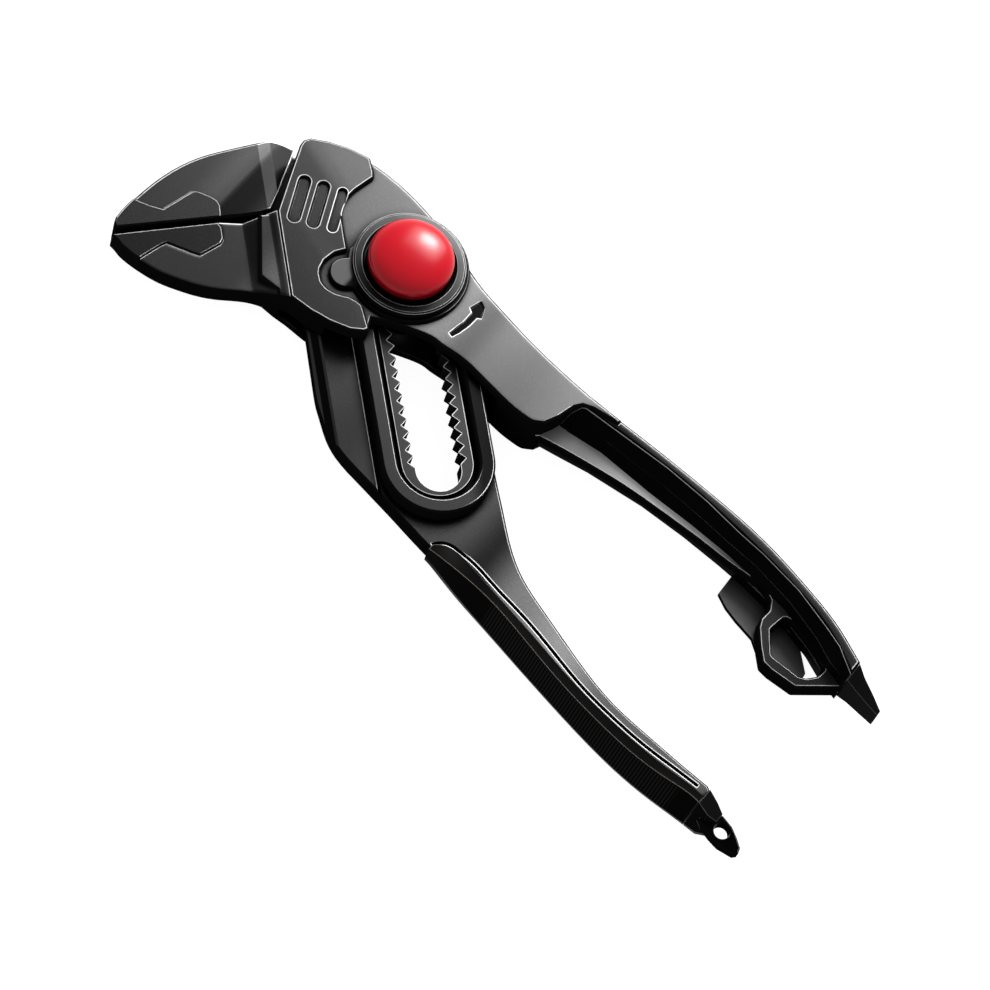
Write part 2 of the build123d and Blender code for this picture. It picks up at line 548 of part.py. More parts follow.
def pin_retaining_ring():
    foot = POCKET_FLOOR + RETAINER_LIFT
    ring = round_bar(RETAINER_OUTER, foot, foot + RETAINER_THICK)
    ring -= round_bar(PIN_RADIUS - RETAINER_GROOVE, foot, foot + RETAINER_THICK)
    mouth = Pos(RETAINER_OUTER, 0, foot) * Box(RETAINER_OUTER * 2, RETAINER_MOUTH, RETAINER_THICK,
                                               align=(Align.CENTER, Align.CENTER, Align.MIN))
    return ring - slot_frame(mouth)


def toothed_lock_block():
    half_width = SLOT_HALF_WIDTH - LOCK_GAP
    face = racetrack(0, LOCK_LENGTH, half_width) - Circle(PIN_RADIUS)
    low = LINER_TOP - LINER_THICK / 2 - LOCK_THICK / 2
    lock = block(face, low, low + LOCK_THICK)
    for number in (0, 1):
        middle = (number + 1 / 2) * TOOTH_PITCH
        for side in (1, -1):
            notch = Polyline((middle - LOCK_NOTCH, side * half_width),
                             (middle, side * (half_width - LOCK_NOTCH)),
                             (middle + LOCK_NOTCH, side * half_width),
                             (middle, side * (half_width + LOCK_NOTCH)), close=True)
            lock -= block(make_face(notch), 0, TALL)
    return slot_frame(lock)


def pivot_rear_screw():
    screw = round_bar(REAR_HEAD_RADIUS, 0, REAR_HEAD_THICK)
    screw += round_bar(REAR_SHANK_RADIUS, REAR_HEAD_THICK, REAR_HEAD_THICK + REAR_SHANK_LENGTH)
    for side in (1, -1):
        screw -= Pos(side * SPANNER_HOLE_OFFSET, 0) * round_bar(SPANNER_HOLE_RADIUS, 0, SPANNER_HOLE_DEPTH)
    return screw


# Button
def dome_curve(radius, foot, top):
    """A quarter of an oval from the skirt to the top."""
    side_pull = (radius, foot + (top - foot) * OVAL_PULL)
    return Bezier((radius, foot), side_pull, (radius * OVAL_PULL, top), (0, top))


def push_button_cap():
    foot = FRONT_TOP + BUTTON_SKIRT_FOOT
    skirt = FRONT_TOP + BUTTON_SKIRT_TOP
    top = FRONT_TOP + BUTTON_DOME_TOP
    roof = FRONT_TOP + BUTTON_ROOF_UNDER
    inner = BUTTON_RADIUS - BUTTON_WALL
    profile = [Line((0, roof), (inner, roof)), Line((inner, roof), (inner, foot)),
               Line((inner, foot), (BUTTON_RADIUS, foot)),
               Line((BUTTON_RADIUS, foot), (BUTTON_RADIUS, skirt)),
               dome_curve(BUTTON_RADIUS, skirt, top),
               Line((0, top), (0, roof))]
    return revolve(Plane.XZ * Face(Wire(profile)), Axis.Z)


def push_button_stem():
    roof = FRONT_TOP + BUTTON_ROOF_UNDER
    stem = round_bar(STEM_RADIUS, FRONT_TOP - STEM_FOOT, roof)
    return stem + round_bar(STEM_FLANGE_RADIUS, roof - STEM_FLANGE_THICK, roof)


def button_return_spring():
    room = FRONT_TOP - STEM_FOOT - SPRING_SEAT
    height = room - SPRING_WIRE_RADIUS * 2 - RUNNING_FIT * 2
    path = Helix(SPRING_PITCH, height, SPRING_RADIUS)
    wire = Plane(path @ 0, z_dir=path % 0) * Circle(SPRING_WIRE_RADIUS)
    coil = sweep(wire, path, is_frenet=True)
    return Pos(0, 0, SPRING_SEAT + SPRING_WIRE_RADIUS + RUNNING_FIT) * coil


# Box member
def cheek_face(lobe_shares):
    return smooth_face(
        ("straight", FRONT_HEAD_SHARES),
        ("curved", FRONT_BACK_SHARES),
        ("straight", SHOULDER_END_SHARES),
        ("curved", FRONT_BELLY_SHARES),
        ("straight", lobe_shares),
    )


def front_face():
    return cheek_face(FRONT_LOBE_SHARES)


def arm_room():
    """The room between the cheeks: low beside the arm, high where the slot's rim passes."""
    low_room = block(polygon(CAVITY_SHARES), 0, ARM_TOP + SLIDE_GAP)
    beyond_head = polygon(CAVITY_SHARES) - Circle(HEAD_FILL_SHARE * PLAN_SPAN)
    high_room = block(polygon(RIM_ROOM_SHARES), 0, FRONT_FOOT)
    return low_room + high_room + block(beyond_head, 0, FRONT_FOOT)


def lower_jaw_face():
    return smooth_face(
        ("straight", BITE_LOWER_SHARES),
        ("straight", LOWER_THROAT_SHARES),
        ("straight", LOWER_ROOT_SHARES),
        ("curved", LOWER_BELLY_SHARES),
        ("straight", LOWER_NOSE_SHARES),
    )


def lower_jaw_blank(high):
    """The lower jaw's whole form, the lower edge of its belly broken."""
    jaw = block(lower_jaw_face(), JAW_FOOT, high)
    return chamfer(foot_edges(jaw).filter_by(GeomType.BSPLINE), JAW_BELLY_EDGE)


def core_face():
    return smooth_face(
        ("curved", CORE_OUTER_SHARES),
        ("straight", [CORE_OUTER_SHARES[-1], CORE_INNER_SHARES[0]]),
        ("curved", CORE_INNER_SHARES),
        ("straight", [CORE_INNER_SHARES[-1], CORE_OUTER_SHARES[0]]),
    )


def box_body_with_lower_jaw():
    cheeks = broken(block(front_face(), REAR_CHEEK_THICK, FRONT_TOP), CHEEK_EDGE)
    jaw = broken(lower_jaw_blank(HEAD_TOP), SMALL_EDGE)
    (ramp_foot, low_share), (ramp_head, high_share) = BOX_RAMP_SHARES
    jaw -= along_slot([(-REACH_BEYOND, JAW_TOP), (ramp_foot * PLAN_SPAN, JAW_TOP),
                       (ramp_head * PLAN_SPAN, HEAD_TOP), (ramp_head * PLAN_SPAN, TALL),
                       (-REACH_BEYOND, TALL)])
    core = broken(block(core_face(), HANDLE_FOOT, HANDLE_TOP), CHEEK_EDGE)
    core -= block(front_face(), 0, REAR_CHEEK_THICK)
    body = cheeks + jaw
    body -= arm_room()
    body += core
    body -= block(polygon(LOWER_INSERT_SHARES), 0, TALL)
    body -= round_bar(PIN_RADIUS + RUNNING_FIT, 0, TALL)
    body -= round_bar(POCKET_RADIUS, POCKET_FLOOR, TALL)
    for place in CHEEK_SCREW_SHARES:
        body -= at(place, round_bar(CHEEK_SCREW_RADIUS, 0, CHEEK_HEAD_SINK + CHEEK_SCREW_LENGTH))
    for place in DOWEL_SHARES:
        body -= at(place, round_bar(DOWEL_RADIUS, FRONT_TOP - DOWEL_LENGTH / 2, TALL))
    body -= block(polygon(ARROW_SHARES), FRONT_TOP - ENGRAVE_DEPTH, TALL)
    return body


def rear_cheek_plate():
    plate = block(cheek_face(REAR_LOBE_SHARES), 0, REAR_CHEEK_THICK)
    plate = chamfer(foot_edges(plate), CHEEK_EDGE)
    plate -= round_bar(PIN_RADIUS + RUNNING_FIT, 0, TALL)
    plate -= round_bar(REAR_HEAD_RADIUS + REAR_HEAD_GAP, 0, REAR_HEAD_THICK + RUNNING_FIT)
    for place in CHEEK_SCREW_SHARES:
        plate -= at(place, round_bar(CHEEK_SCREW_RADIUS, 0, TALL))
        plate -= at(place, round_bar(CHEEK_HEAD_RADIUS, 0, CHEEK_HEAD_SINK + CHEEK_HEAD_THICK))
    return plate


def rear_cheek_screws():
    low = CHEEK_HEAD_SINK
    head = round_bar(CHEEK_HEAD_RADIUS, low, low + CHEEK_HEAD_THICK)
    socket = block(RegularPolygon(CHEEK_SOCKET_RADIUS, 6), low, low + CHEEK_SOCKET_DEPTH)
    screw = head - socket + round_bar(CHEEK_SCREW_RADIUS, low + CHEEK_HEAD_THICK, low + CHEEK_SCREW_LENGTH)
    return Compound([at(place, screw).solid() for place in CHEEK_SCREW_SHARES])


def head_cover_plate():
    plate = broken(block(polygon(HEAD_PLATE_SHARES), FRONT_TOP, HEAD_TOP), HEAD_EDGE)
    for number in (-1, 0, 1):
        groove = SlotOverall(MOTIF_LENGTH, MOTIF_WIDTH, rotation=MOTIF_TURN)
        turn = math.radians(MOTIF_TURN)
        step = number * MOTIF_STEP
        cut = block(Pos(-math.sin(turn) * step, math.cos(turn) * step) * groove, HEAD_TOP - MOTIF_DEPTH, TALL)
        plate -= at(MOTIF_CENTRE_SHARES, cut)
    plate = chamfer(opening_edges(plate), PLATE_EDGE)
    for place in DOWEL_SHARES:
        plate -= at(place, round_bar(DOWEL_RADIUS, 0, FRONT_TOP + DOWEL_LENGTH / 2 - SLIDE_GAP))
    return plate


def head_plate_dowels():
    dowel = round_bar(DOWEL_RADIUS, FRONT_TOP - DOWEL_LENGTH / 2, FRONT_TOP + DOWEL_LENGTH / 2 - SLIDE_GAP)
    return Compound([at(place, dowel).solid() for place in DOWEL_SHARES])


def lower_jaw_insert():
    insert = lower_jaw_blank(JAW_TOP + INSERT_RISE) & block(polygon(LOWER_INSERT_SHARES), 0, TALL)
    insert = broken(insert, INSERT_EDGE)
    for bar in bite_grooves(BITE_LOWER_SHARES[::-1], JAW_FOOT + BITE_END_LAND, JAW_TOP - BITE_END_LAND):
        insert -= bar
    return insert


def button_housing():
    flange = block(Circle(FLANGE_RADIUS), FRONT_TOP, FLANGE_TOP)
    for turn in (180, 135):
        flat = Pos(FLANGE_FLAT + PLAN_SPAN / 2, 0, 0) * Box(PLAN_SPAN, PLAN_SPAN, PLAN_SPAN)
        flange -= Rot(0, 0, turn) * flat
    tab = Pos(TAB_REACH, 0) * Circle(TAB_HALF_WIDTH) + Pos(TAB_REACH / 2, 0) * Rectangle(TAB_REACH, TAB_HALF_WIDTH * 2)
    tab = Rot(0, 0, TAB_TURN) * broken(block(tab, FRONT_TOP, FRONT_TOP + TAB_THICK), SMALL_EDGE)
    tab -= round_bar(BEZEL_FOOT_RADIUS, FLANGE_TOP, TALL)
    housing = broken(flange, SMALL_EDGE) + tab
    housing += round_bar(POCKET_RADIUS, POCKET_FLOOR, FRONT_TOP)
    return housing - round_bar(HOUSING_BORE_RADIUS, 0, TALL)


def button_bezel_ring():
    mouth_drop = BEZEL_THICK / 3
    profile = Polyline((BEZEL_BORE_RADIUS, FLANGE_TOP), (BEZEL_FOOT_RADIUS, FLANGE_TOP),
                       (BEZEL_TOP_RADIUS + SMALL_EDGE, BEZEL_TOP - SMALL_EDGE),
                       (BEZEL_TOP_RADIUS - SMALL_EDGE, BEZEL_TOP),
                       (BEZEL_MOUTH_RADIUS, BEZEL_TOP),
                       (BEZEL_BORE_RADIUS, BEZEL_TOP - mouth_drop), close=True)
    return revolve(Plane.XZ * make_face(profile), Axis.Z)


# Right handle
def section(along, points):
    """A flat section across the handle at one place along it."""
    corners = [(along * PLAN_SPAN, across, height) for across, height in points]
    return Face(Wire(Polyline(*corners, close=True)))


def right_grip_sleeve(body, blade):
    blade_foot = BLADE_TOP - BLADE_THICK
    slices = []
    for along, outer, inner, above, below in RIGHT_GRIP_SHARES:
        points = [(outer * PLAN_SPAN, HANDLE_FOOT), (outer * PLAN_SPAN, HANDLE_TOP),
                  (inner * PLAN_SPAN, RIDGE_A_HEIGHT), (above * PLAN_SPAN, BLADE_TOP),
                  (above * PLAN_SPAN, blade_foot), (below * PLAN_SPAN, blade_foot),
                  (below * PLAN_SPAN, HANDLE_FOOT)]
        slices.append(section(along, points))
    grip = loft(slices, ruled=True)
    grip -= block(front_face(), 0, TALL)
    grip -= body
    return grip - blade


def loop_corners(solid):
    """The upright edges round the loop that a hand runs over."""
    upright = solid.edges().filter_by(Axis.Z)
    return upright.filter_by_position(Axis.X, *[share * PLAN_SPAN for share in LOOP_CORNER_SPAN])


def finger_loop_plate():
    window = block(polygon(WINDOW_SHARES), 0, TALL)
    window = fillet(window.edges().filter_by(Axis.Z), LOOP_CORNER)
    blade_face = smooth_face(
        ("straight", BLADE_SHARES),
        ("curved", BLADE_LOWER_SHARES),
        ("straight", [BLADE_LOWER_SHARES[-1], BLADE_SHARES[0]]),
    )
    blade = block(blade_face, BLADE_TOP - BLADE_THICK, BLADE_TOP)
    blade = broken(fillet(loop_corners(blade), LOOP_CORNER) - window, PLATE_EDGE)
    loop = block(polygon(LOOP_SHARES), BLADE_TOP - LOOP_THICK, BLADE_TOP - BLADE_THICK)
    loop = fillet(loop_corners(loop), LOOP_CORNER) - window
    return blade + loop - block(front_face(), 0, TALL)


def right_handle_end_cap(body, blade):
    slices = []
    for along, outer, inner, foot, top in RIGHT_CAP_SHARES:
        points = [(outer * PLAN_SPAN, foot * PLAN_SPAN), (outer * PLAN_SPAN, top * PLAN_SPAN),
                  (inner * PLAN_SPAN, top * PLAN_SPAN), (inner * PLAN_SPAN, foot * PLAN_SPAN)]
        slices.append(section(along, points))
    return loft(slices, ruled=True) - blade - body


# Left handle
def left_slices(rows):
    slices = []
    for along, groove, ridge, flank, foot, rise, drop in rows:
        low = ARM_FOOT - LEFT_FOOT_DROP * drop
        points = [(groove * PLAN_SPAN, low), (groove * PLAN_SPAN, ARM_TOP + LEFT_GROOVE_LIFT),
                  (ridge * PLAN_SPAN, ARM_TOP + LEFT_GROOVE_LIFT + LEFT_RIDGE_RISE * rise),
                  (flank * PLAN_SPAN, LEFT_FLANK_HEIGHT), (foot * PLAN_SPAN, low)]
        slices.append(section(along, points))
    return slices


def left_grip_sleeve(arm):
    return loft(left_slices(LEFT_GRIP_SHARES)) - arm


def left_handle_end_cap(arm, lug):
    return loft(left_slices(LEFT_CAP_SHARES), ruled=True) - arm - lug


def lanyard_lug(arm):
    lug = broken(block(polygon(LUG_SHARES), LUG_FOOT, LUG_FOOT + LUG_THICK), SMALL_EDGE)
    lug -= at(LUG_HOLE_SHARES, round_bar(LUG_HOLE_RADIUS, 0, TALL))
    return lug - arm


# Backing plate
def loop_backing_plate():
    plate = block(polygon(BACKING_SHARES), HANDLE_FOOT - BACKING_THICK, HANDLE_FOOT)
    for place in BACKING_RIVET_SHARES:
        plate -= at(place, round_bar(BACKING_RIVET_RADIUS, 0, TALL))
    return plate


def backing_plate_rivets():
    seat = HANDLE_FOOT - BACKING_THICK
    rivet = round_bar(BACKING_RIVET_HEAD_RADIUS, seat - BACKING_RIVET_HEAD_THICK, seat)
    rivet += round_bar(BACKING_RIVET_RADIUS, seat, HANDLE_FOOT + BACKING_RIVET_LENGTH)
    return Compound([at(place, rivet).solid() for place in BACKING_RIVET_SHARES])


def build_all():
    arm = slotted_arm_with_upper_jaw()
    body = box_body_with_lower_jaw()
    blade = finger_loop_plate()
    lug = lanyard_lug(arm)
    rivets = backing_plate_rivets()
    body -= blade
    grip = right_grip_sleeve(body, blade)
    return {
        "slotted_arm_with_upper_jaw": arm,
        "upper_jaw_insert": upper_jaw_insert(),
        "slot_rim": slot_rim(),
        "toothed_slot_liner": toothed_slot_liner(),
        "left_grip_sleeve": left_grip_sleeve(arm),
        "left_handle_end_cap": left_handle_end_cap(arm, lug),
        "lanyard_lug": lug,
        "pivot_pin": pivot_pin(),
        "toothed_lock_block": toothed_lock_block(),
        "pivot_rear_screw": pivot_rear_screw(),
        "pin_retaining_ring": pin_retaining_ring(),
        "push_button_cap": push_button_cap(),
        "push_button_stem": push_button_stem(),
        "button_return_spring": button_return_spring(),
        "box_body_with_lower_jaw": body,
        "rear_cheek_plate": rear_cheek_plate(),
        "rear_cheek_screws": rear_cheek_screws(),
        "head_cover_plate": head_cover_plate(),
        "head_plate_dowels": head_plate_dowels(),
        "lower_jaw_insert": lower_jaw_insert(),
        "button_housing": button_housing(),
        "button_bezel_ring": button_bezel_ring(),
        "right_grip_sleeve": grip - rivets,
        "finger_loop_plate": blade,
        "right_handle_end_cap": right_handle_end_cap(body, blade),
        "loop_backing_plate": loop_backing_plate(),
        "backing_plate_rivets": rivets,
    }


if __name__ == "__main__":
    os.makedirs("parts", exist_ok=True)
    for name, shape in build_all().items():
        export_step(shape, f"parts/{name}.step")
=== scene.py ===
"""Looks for the water pump pliers: materials, small surface detail, camera, floor and light."""

import math

import bpy
from mathutils import Matrix, Vector

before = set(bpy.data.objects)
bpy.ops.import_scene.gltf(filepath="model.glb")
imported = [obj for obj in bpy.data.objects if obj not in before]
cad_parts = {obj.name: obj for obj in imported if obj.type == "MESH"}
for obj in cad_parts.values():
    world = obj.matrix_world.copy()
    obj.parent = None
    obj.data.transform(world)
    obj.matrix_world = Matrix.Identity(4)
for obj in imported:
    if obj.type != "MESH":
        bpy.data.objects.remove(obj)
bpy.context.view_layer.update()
MM = 0.001
WHITE = (1.0, 1.0, 1.0, 1.0)

# Rays for the nodes that look about a point
QUICK_RAYS = 6
SOFT_RAYS = 8
FINE_RAYS = 12


# Node graph helpers
class Graph:
    """A material's node tree with short calls for the nodes used here."""

    def __init__(self, name):
        self.material = bpy.data.materials.new(name)
        self.material.use_nodes = True
        self.tree = self.material.node_tree
        self.tree.nodes.clear()
        self.output = self.tree.nodes.new("ShaderNodeOutputMaterial")
        self.coords = self.tree.nodes.new("ShaderNodeTexCoord")

    def node(self, kind, **settings):
        made = self.tree.nodes.new(kind)
        for key, value in settings.items():
            setattr(made, key, value)
        return made

    def join(self, source, target):
        self.tree.links.new(source, target)

    def feed(self, value, socket):
        """Link a socket to another node's result, or set it to a plain value."""
        if isinstance(value, bpy.types.NodeSocket):
            self.join(value, socket)
        else:
            socket.default_value = value

    def math(self, operation, first, second):
        made = self.node("ShaderNodeMath", operation=operation)
        self.feed(first, made.inputs[0])
        self.feed(second, made.inputs[1])
        return made.outputs[0]

    def less(self, value):
        return self.math("SUBTRACT", 1.0, value)

    def plus(self, first, second):
        return self.math("ADD", first, second)

    def times(self, first, second):
        return self.math("MULTIPLY", first, second)

    def steps(self, value, low, high):
        """Value taken smoothly from 0 at low to 1 at high."""
        made = self.node("ShaderNodeMapRange", interpolation_type="SMOOTHSTEP")
        self.feed(value, made.inputs["Value"])
        made.inputs["From Min"].default_value = low
        made.inputs["From Max"].default_value = high
        return made.outputs["Result"]

    def between(self, value, low, high, soft):
        """1 where the value lies from low to high, with soft ends."""
        begun = self.steps(value, low - soft, low + soft)
        ended = self.steps(value, high - soft, high + soft)
        return self.times(begun, self.less(ended))

    def mix(self, share, first, second, kind="RGBA", **settings):
        made = self.node("ShaderNodeMix", data_type=kind, **settings)
        self.feed(share, made.inputs["Factor"])
        self.feed(first, made.inputs["A"])
        self.feed(second, made.inputs["B"])
        return made.outputs["Result"]

    def mix_values(self, share, first, second):
        return self.mix(share, first, second, kind="FLOAT")

    def tinted(self, colour, level):
        """A colour multiplied by a grey level."""
        return self.mix(1.0, colour, level, blend_type="MULTIPLY")

    def part_of(self, vector, axis):
        made = self.node("ShaderNodeSeparateXYZ")
        self.join(vector, made.inputs[0])
        return made.outputs["XYZ".index(axis)]

    def upright(self, normal):
        """How far a normal points up or down, 0 to 1."""
        return self.math("ABSOLUTE", self.part_of(normal, "Z"), 0.0)

    def facing(self, axis):
        """The object-space normal's part along one axis."""
        return self.part_of(self.coords.outputs["Normal"], axis)

    def along(self, axis):
        """The place along one axis, in metres."""
        return self.part_of(self.coords.outputs["Object"], axis)

    def heading(self, degrees):
        """The place along a plan direction."""
        turn = math.radians(degrees)
        along_x = self.times(self.along("X"), math.cos(turn))
        return self.plus(along_x, self.times(self.along("Y"), math.sin(turn)))

    def plain_normal(self):
        return self.node("ShaderNodeNewGeometry").outputs["Normal"]

    def rounded(self, radius, rays=QUICK_RAYS):
        """The normal as if every edge were rounded to this radius."""
        made = self.node("ShaderNodeBevel", samples=rays)
        made.inputs["Radius"].default_value = radius
        return made.outputs[0]

    def turned(self, normal, plain):
        """How far one normal leaves another, 0 where they agree."""
        made = self.node("ShaderNodeVectorMath", operation="DOT_PRODUCT")
        self.join(normal, made.inputs[0])
        self.join(plain, made.inputs[1])
        return self.less(made.outputs["Value"])

    def open_share(self, distance, low, high):
        """0 in tight corners and under edges, 1 on open faces."""
        made = self.node("ShaderNodeAmbientOcclusion", samples=SOFT_RAYS)
        made.inputs["Distance"].default_value = distance
        return self.steps(made.outputs["AO"], low, high)

    def brushed(self, scale, turn):
        """Object coordinates stretched by a scale for each axis, for a grain that runs one way."""
        made = self.node("ShaderNodeMapping")
        made.inputs["Scale"].default_value = scale
        made.inputs["Rotation"].default_value = (0.0, 0.0, turn)
        self.join(self.coords.outputs["Object"], made.inputs["Vector"])
        return made.outputs["Vector"]

    def noise(self, scale, detail=2.0, rough=0.5, vector=None):
        made = self.node("ShaderNodeTexNoise")
        made.inputs["Scale"].default_value = scale
        made.inputs["Detail"].default_value = detail
        made.inputs["Roughness"].default_value = rough
        self.join(vector or self.coords.outputs["Object"], made.inputs["Vector"])
        return made.outputs["Fac"]

    def levels(self, value, stops):
        """A level read off a few stops of millimetres and level, eased between them."""
        share = self.node("ShaderNodeMapRange")
        self.feed(value, share.inputs["Value"])
        first, last = stops[0][0], stops[-1][0]
        share.inputs["From Min"].default_value = first * MM
        share.inputs["From Max"].default_value = last * MM
        ramp = self.node("ShaderNodeValToRGB")
        ramp.color_ramp.interpolation = "EASE"
        while len(ramp.color_ramp.elements) < len(stops):
            ramp.color_ramp.elements.new(0.5)
        for element, (at, level) in zip(ramp.color_ramp.elements, stops):
            element.position = (at - first) / (last - first)
            element.color = grey(level)
        self.join(share.outputs["Result"], ramp.inputs["Fac"])
        return ramp.outputs["Color"]

    def bump(self, height, strength, distance, normal=None):
        made = self.node("ShaderNodeBump")
        made.inputs["Strength"].default_value = strength
        made.inputs["Distance"].default_value = distance
        self.join(height, made.inputs["Height"])
        if normal is not None:
            self.join(normal, made.inputs["Normal"])
        return made.outputs["Normal"]

    def finish(self, colour, rough, normal, metal, **settings):
        """Close the tree with one shader and give the material back."""
        shader = self.node("ShaderNodeBsdfPrincipled")
        self.feed(colour, shader.inputs["Base Color"])
        self.feed(rough, shader.inputs["Roughness"])
        self.feed(metal, shader.inputs["Metallic"])
        self.join(normal, shader.inputs["Normal"])
        for key, value in settings.items():
            shader.inputs[key.replace("_", " ")].default_value = value
        self.join(shader.outputs[0], self.output.inputs["Surface"])
        return self.material


def grey(level, warm=0.0):
    """A grey with a little warmth, as a colour."""
    return (level * (1 + warm), level, level * (1 - warm), 1.0)


# Blackened steel. Each range is where a share goes from 0 to 1: of a normal's part along an axis,
# of how far a rounded normal leaves the plain one, or of how open a place is. The noises are given
# as scale, detail and roughness.
FLAT_UP = (0.76, 0.81)
STEEL_OPEN = (0.52, 0.95)
STEEL_OPEN_REACH = 4.0 * MM
# Ranges for the lines of painted highlight
LINE_TURNED = (0.012, 0.030)
CHAMFER_UP = (0.40, 0.60)
CHAMFER_RIM_UP = (0.80, 0.87)
CHAMFER_BACK = (0.15, 0.40)
LINE_OPEN = (0.25, 0.75)
LINE_FRONT = (-0.14, -0.02)
LINES_FROM_SOFT = 3.0
# The noise that breaks up the painted highlight lines
HIGHLIGHT_BREAK_NOISE = (500.0, 3.0)
HIGHLIGHT_BREAK_RANGE = (0.25, 0.60)
HIGHLIGHT_LEAST = 0.70
CLOUD_NOISE = (45.0, 3.0, 0.6)
CLOUD_SHARE = 0.40
SPECK_NOISE = (2600.0, 2.0, 0.7)
SPECK_SHARE = 0.30
GRAIN_NOISE = (1.0, 2.0, 0.6)
GRAIN_SHARE = 0.16
GRAIN_STRETCH = (900.0, 6500.0, 900.0)
TONE_SPREAD = 0.16
WALL_LOW = 0.6
WALL_HIGH = 1.5
SLOPING_BACK = (0.05, 0.14)
SOFT_EDGE_RADIUS = 1.9 * MM
SOFT_EDGE_TURN = (0.06, 0.62)
RECESS_SOFT = 0.03
LINE_ROUGH = 0.5
GRAIN_ROUGH = 0.08
STEEL_EDGE_RADIUS = 0.12 * MM
STEEL_BUMP = 0.03
STEEL_BUMP_HEIGHT = 0.008 * MM
BUMP_GRAIN_SHARE = 0.5
STEEL_TINT = 0.45


def painted_edge_highlights(graph, plain, rim, flat, clear, lines_below, all_lines_from):
    """1 on thin lines of painted highlight: the last of a flat before an edge, and a broken edge's top."""
    last = graph.times(flat, graph.steps(graph.turned(rim, plain), *LINE_TURNED))
    chamfer = graph.times(graph.less(flat), graph.steps(graph.upright(plain), *CHAMFER_UP))
    chamfer = graph.times(chamfer, graph.steps(graph.upright(rim), *CHAMFER_RIM_UP))
    chamfer = graph.times(chamfer, graph.less(graph.steps(graph.part_of(plain, "Y"), *CHAMFER_BACK)))
    below = lines_below
    if all_lines_from is not None:
        first = (all_lines_from - LINES_FROM_SOFT) * MM
        below = graph.steps(graph.along("X"), first, (all_lines_from + LINES_FROM_SOFT) * MM)
    # Painted highlight, dimmer on the lines facing the front; a noise breaks it up
    side = graph.mix_values(graph.steps(graph.part_of(rim, "Y"), *LINE_FRONT), below, 1.0)
    highlight_breaks = graph.times(graph.steps(graph.noise(*HIGHLIGHT_BREAK_NOISE), *HIGHLIGHT_BREAK_RANGE), 1.0 - HIGHLIGHT_LEAST)
    lines = graph.times(graph.math("MAXIMUM", last, chamfer), graph.steps(clear, *LINE_OPEN))
    return graph.times(lines, graph.times(side, graph.plus(HIGHLIGHT_LEAST, highlight_breaks)))


